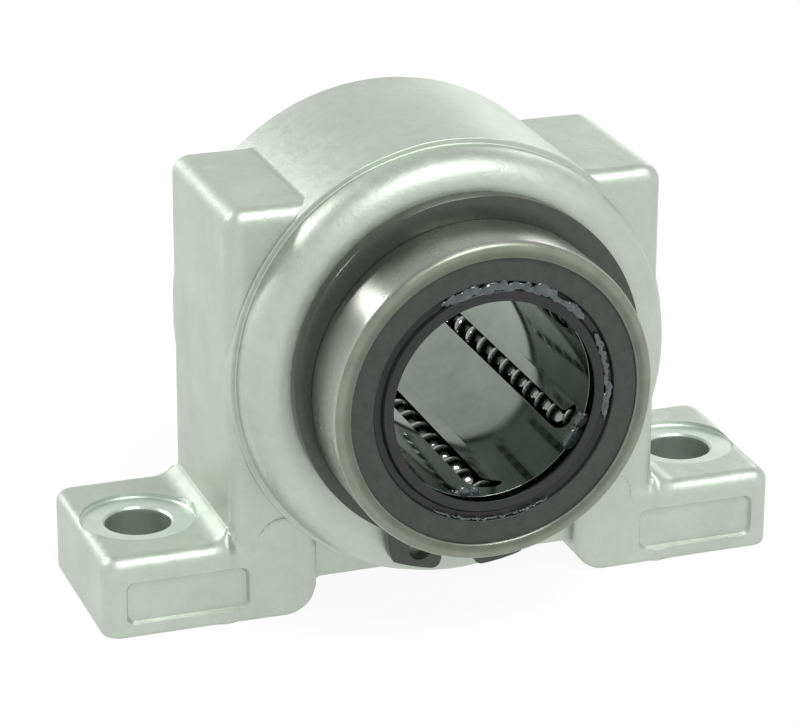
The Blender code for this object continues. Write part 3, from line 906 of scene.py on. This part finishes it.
def cast_aluminium():
    """Vibratory-finished die casting: satin, faintly mottled, with fine grain and painted shade for a few
    pores.
    """
    n = Nodes("cast")
    clouds = n.noise(0.12, detail=4.0, roughness=0.6)
    mottle = n.noise(0.8, detail=5.0, roughness=0.65)
    grain = n.noise(5.0, detail=3.0, roughness=0.6)
    colour = n.ramp(clouds, [(0.3, (0.470, 0.522, 0.455)), (0.7, (0.53, 0.583, 0.522))])
    colour = n.multiply(0.45, colour, n.ramp(mottle, [(0.3, 0.80), (0.7, 1.0)]))
    # Painted shade: tiny dark spots that stand in for the shadow inside pores.
    painted_pore_shade = n.ramp(n.noise(1.6, detail=2.0), [(0.0, 0.0), (0.20, 0.0), (0.22, 1.0)])
    colour = n.multiply(0.5, colour, painted_pore_shade)
    roughness = n.ramp(mottle, [(0.25, 0.40), (0.75, 0.54)])
    normal = n.bump(grain, 0.025, 0.35)
    normal = n.bump(mottle, 0.09, 0.6, normal)
    return n.finish(colour, roughness, normal, metallic=0.85)


def machined_aluminium():
    """The turned bore and seats: fine rings round the shaft axis."""
    n = Nodes("machined")
    rings = n.noise(0.05, detail=2.0, stretch=(0.2, 60.0, 0.2))
    colour = n.ramp(n.noise(0.5), [(0.3, (0.46, 0.50, 0.45)), (0.7, (0.55, 0.59, 0.54))])
    return n.finish(colour, n.ramp(rings, [(0.3, 0.26), (0.7, 0.4)]), n.bump(rings, 0.03, 0.4), metallic=0.9)


def faced_aluminium():
    """Milled base and spot faces, with fine cutter marks, and painted shade that darkens the drilled holes
    between them.
    """
    n = Nodes("faced")
    marks = n.noise(0.6, detail=3.0, stretch=(9.0, 0.8, 1.0), distortion=0.3)
    colour = n.ramp(n.noise(0.4), [(0.3, (0.53, 0.60, 0.54)), (0.7, (0.60, 0.67, 0.60))])
    split = n.add("ShaderNodeSeparateXYZ")
    n.link(n.place, split.inputs[0])
    rise = n.maths("DIVIDE", split.outputs["Z"], SPOT_HEIGHT * MM)
    # Painted shade inside the drilled holes: darker all the way up between the base and the spot face.
    painted_hole_shade = n.ramp(rise, [(0.0, 1.0), (0.06, 0.62), (0.93, 0.66), (0.99, 1.0)])
    colour = n.multiply(1.0, colour, painted_hole_shade)
    return n.finish(colour, n.ramp(marks, [(0.3, 0.3), (0.7, 0.44)]), n.bump(marks, 0.02, 0.4), metallic=0.7)


def ground_steel():
    """Centreless-ground bearing steel: bright, with very fine lines round it."""
    n = Nodes("ground_steel")
    lines = n.noise(0.03, detail=6.0, roughness=0.7, stretch=(0.3, 150.0, 0.3))
    smear = n.noise(0.12, detail=4.0, roughness=0.6)
    shade = n.ramp(smear, [(0.3, (0.35, 0.36, 0.32)), (0.7, (0.42, 0.43, 0.39))])
    shade = n.multiply(0.15, shade, n.ramp(lines, [(0.35, 0.7), (0.65, 1.0)]))
    roughness = n.ramp(smear, [(0.3, 0.25), (0.7, 0.30)])
    round_axis = n.add("ShaderNodeTangent", direction_type="RADIAL", axis="Y")
    n.link(round_axis.outputs["Tangent"], n.shader.inputs["Tangent"])
    normal = n.bump(lines, 0.002, 0.2)
    return n.finish(shade, roughness, normal, metallic=1.0, anisotropic=0.8, anisotropic_rotation=0.25)


def rim_steel():
    """The sleeve's end faces: turned, satin and slightly khaki from preservative oil, with painted shade
    across each face and a painted highlight towards its outer edge.
    """
    n = Nodes("rim_steel")
    distance = n.axis_distance()
    wave = n.maths("SINE", n.maths("MULTIPLY", distance, 46.0))
    blotch = n.noise(0.5, detail=4.0, roughness=0.6)
    colour = n.ramp(blotch, [(0.3, (0.20, 0.22, 0.175)), (0.7, (0.26, 0.28, 0.23))])
    outward = n.maths("SUBTRACT", distance, SLEEVE_BORE)
    # Painted shade and highlight: darker a little way out from the bore edge, lighter again towards the
    # outer edge, as light falls on a rounded face.
    painted_rim_shade = n.ramp(outward, [(0.0, 0.95), (0.25, 0.62), (0.6, 0.72), (0.95, 1.0)])
    colour = n.multiply(1.0, colour, painted_rim_shade)
    roughness = n.ramp(blotch, [(0.3, 0.34), (0.7, 0.42)])
    return n.finish(colour, roughness, n.bump(wave, 0.003, 0.15), metallic=0.9)


def black_steel():
    """Phosphated and oiled spring steel."""
    n = Nodes("black_steel")
    mottle = n.noise(1.3, detail=5.0, roughness=0.7)
    grain = n.noise(7.0, detail=2.0)
    colour = n.ramp(mottle, [(0.3, (0.055, 0.060, 0.053)), (0.7, (0.072, 0.078, 0.068))])
    roughness = n.ramp(mottle, [(0.25, 0.20), (0.75, 0.27)])
    return n.finish(colour, roughness, n.bump(grain, 0.004, 0.2), metallic=0.6)


def seal_rubber():
    """Nitrile rubber: dusty dark grey, with painted shade that turns it nearly black from the groove in
    towards the shaft.
    """
    n = Nodes("seal_rubber")
    dust = n.noise(1.1, detail=5.0, roughness=0.7)
    grain = n.noise(8.0, detail=2.0)
    colour = n.ramp(dust, [(0.3, (0.018, 0.025, 0.021)), (0.75, (0.034, 0.043, 0.036))])
    # Painted shade: the colour falls to a fifth from the seal's groove in to its lip.
    inside = n.maths("SUBTRACT", n.axis_distance(), SEAL_SHADE_RADIUS)
    colour = n.multiply(1.0, colour, n.ramp(inside, [(0.0, 0.2), (0.4, 1.0)]))
    wet = n.noise(0.35, detail=3.0)
    roughness = n.ramp(wet, [(0.35, 0.34), (0.65, 0.52)])
    return n.finish(colour, roughness, n.bump(grain, 0.01, 0.4), metallic=0.0)


def oiled_cage():
    """The retainer: grey-green, glossy under a film of oil."""
    n = Nodes("cage")
    film = n.noise(0.3, detail=4.0, roughness=0.6)
    colour = n.ramp(film, [(0.3, (0.17, 0.20, 0.175)), (0.7, (0.21, 0.245, 0.215))])
    roughness = n.ramp(film, [(0.3, 0.08), (0.7, 0.12)])
    lines = n.noise(0.05, detail=3.0, stretch=(1.0, 30.0, 1.0))
    return n.finish(colour, roughness, n.bump(lines, 0.004, 0.3), metallic=1.0)


def ball_steel():
    """Lapped chrome steel under dark oil."""
    n = Nodes("ball_steel")
    film = n.noise(0.7, detail=3.0)
    colour = n.ramp(film, [(0.3, (0.20, 0.21, 0.20)), (0.7, (0.32, 0.33, 0.31))])
    return n.finish(colour, n.ramp(film, [(0.3, 0.06), (0.7, 0.16)]), None, metallic=1.0)


def grease_film():
    """Bluish lithium grease, wet and a little cloudy."""
    n = Nodes("grease")
    clouds = n.noise(1.4, detail=4.0, roughness=0.6)
    colour = n.ramp(clouds, [(0.3, (0.022, 0.030, 0.032)), (0.7, (0.085, 0.105, 0.110))])
    roughness = n.ramp(clouds, [(0.3, 0.05), (0.7, 0.14)])
    return n.finish(colour, roughness, n.bump(clouds, 0.08, 0.8), transmission_weight=0.2, coat_weight=0.6)


def plate_steel():
    """The end rings: dull rolled steel."""
    n = Nodes("plate_steel")
    film = n.noise(0.5, detail=3.0)
    colour = n.ramp(film, [(0.3, (0.12, 0.125, 0.12)), (0.7, (0.2, 0.205, 0.195))])
    return n.finish(colour, n.ramp(film, [(0.3, 0.3), (0.7, 0.5)]), n.bump(film, 0.01, 0.3), metallic=0.8)


# --- Putting the pieces in place ---------------------------------------------------------------


def dress(obj, material):
    """Gives the object one material."""
    obj.data.materials.clear()
    obj.data.materials.append(material)
    return obj


def place(obj, body, node, slot):
    """Puts the object on its body, in place of a node of the frame."""
    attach(obj, body)
    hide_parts(node)


def body_of_node(node):
    """The body that a node of the frame belongs to."""
    groups = frame["record"]["behaviour"]["bodies"]
    return next(name for name, members in groups.items() if node in members)


def build_object():
    """Builds every piece and puts it on its body."""
    housing = build_housing()
    # These fill in the three materials, already named, that the housing wears.
    cast_aluminium()
    machined_aluminium()
    faced_aluminium()
    place(housing, "housing", "housing", "cast_aluminium")

    sleeve = build_sleeve()
    dress(sleeve, ground_steel())
    sleeve.data.materials.append(rim_steel())
    for face in sleeve.data.polygons:
        if abs(face.normal.y) > 0.5 and abs(face.center.y) > (SLEEVE_END - SLEEVE_EDGE) * MM:
            face.material_index = 1
    place(sleeve, "bushing", "outer_sleeve", "ground_steel")

    retainer = dress(build_retainer(), oiled_cage())
    place(retainer, "bushing", "ball_retainer", "cage")

    steel = ball_steel()
    for balls, node in build_balls():
        place(dress(balls, steel), body_of_node(node), node, "ball_steel")

    film = grease_film()
    for seed, (name, *settings) in enumerate(GREASE):
        bead = dress(grease_bead(f"grease_{name}", *settings, seed), film)
        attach(bead, "bushing")

    ends = (
        (build_seal(), "seal", "wiper_seal", seal_rubber(), "seal_rubber"),
        (build_end_ring(), "end_ring", "end_plate", plate_steel(), "end_ring_steel"),
        (build_clip(), "circlip", "retaining_clip", black_steel(), "phosphated_steel"),
    )
    for front, node, name, material, slot in ends:
        dress(front, material)
        rear = rear_copy(front, f"rear_{name}")
        place(front, "bushing", f"front_{node}", slot)
        place(rear, "bushing", f"rear_{node}", slot)


# --- Stage, light and camera -------------------------------------------------------------------


def add_light(name, place, target, size, power):
    """A white rectangular lamp facing a target."""
    data = bpy.data.lights.new(name, "AREA")
    data.shape = "RECTANGLE"
    data.size, data.size_y = size
    data.energy = power
    light = bpy.data.objects.new(name, data)
    light.location = place
    light.rotation_euler = (Vector(target) - Vector(place)).to_track_quat("-Z", "Y").to_euler()
    bpy.context.scene.collection.objects.link(light)


# Brightness of the surroundings by height, as (position, level).
WORLD_LEVELS = ((0.35, 1.0), (0.9, 0.5))


def build_stage():
    """A pale floor that glows a little, in bright surroundings that darken overhead."""
    bm = bmesh.new()
    bmesh.ops.create_grid(bm, x_segments=4, y_segments=4, size=4.0)
    floor = mesh_object("studio_floor", bm)
    n = Nodes("floor_paper")
    n.finish(n.ramp(n.noise(0.002), [(0.3, 0.09), (0.7, 0.11)]), 0.9, None, emission_strength=0.90)
    n.shader.inputs["Emission Color"].default_value = (1, 1, 1, 1)
    n.shader.inputs["Specular IOR Level"].default_value = 0.0
    floor.data.materials.append(n.material)

    world = bpy.data.worlds.new("studio")
    bpy.context.scene.world = world
    world.use_nodes = True
    tree = world.node_tree
    direction = tree.nodes.new("ShaderNodeTexCoord").outputs["Generated"]
    split = tree.nodes.new("ShaderNodeSeparateXYZ")
    ramp = tree.nodes.new("ShaderNodeValToRGB")
    for element, (position, level) in zip(ramp.color_ramp.elements, WORLD_LEVELS):
        element.position = position
        element.color = (level, level, level, 1)
    tree.links.new(direction, split.inputs[0])
    tree.links.new(split.outputs["Z"], ramp.inputs["Fac"])
    tree.links.new(ramp.outputs["Color"], tree.nodes["Background"].inputs["Color"])


CAMERA_TARGET = Vector((-1.9, -0.85, 21.4)) * MM
CAMERA_AZIMUTH = radians(-19.68)
CAMERA_ELEVATION = radians(21.35)
CAMERA_ROLL = radians(0.22)
CAMERA_DISTANCE = 0.3565
CAMERA_LENS = 161.3


def build_camera():
    """The camera, to the left of the front and a little above."""
    data = bpy.data.cameras.new("camera")
    data.lens = CAMERA_LENS
    data.clip_start = 0.01
    camera = bpy.data.objects.new("camera", data)
    back = Vector(
        (
            sin(CAMERA_AZIMUTH) * cos(CAMERA_ELEVATION),
            -cos(CAMERA_AZIMUTH) * cos(CAMERA_ELEVATION),
            sin(CAMERA_ELEVATION),
        )
    )
    camera.location = CAMERA_TARGET + back * CAMERA_DISTANCE
    turn = (-back).to_track_quat("-Z", "Y").to_matrix() @ Matrix.Rotation(CAMERA_ROLL, 3, "Z")
    camera.rotation_euler = turn.to_euler()
    bpy.context.scene.collection.objects.link(camera)
    bpy.context.scene.camera = camera


build_camera()
build_stage()
build_object()
add_light("key", (0.12, -0.42, 0.70), (0, 0, 0.02), (0.42, 0.26), 4.3)
add_light("left_window", (-0.37, 0.32, 0.325), (0, 0, 0.025), (0.10, 0.10), 1.3)
add_light("right_window", (0.36, 0.44, 0.25), (0, 0, 0.025), (0.14, 0.14), 0.25)
bpy.context.scene.view_settings.view_transform = "Standard"
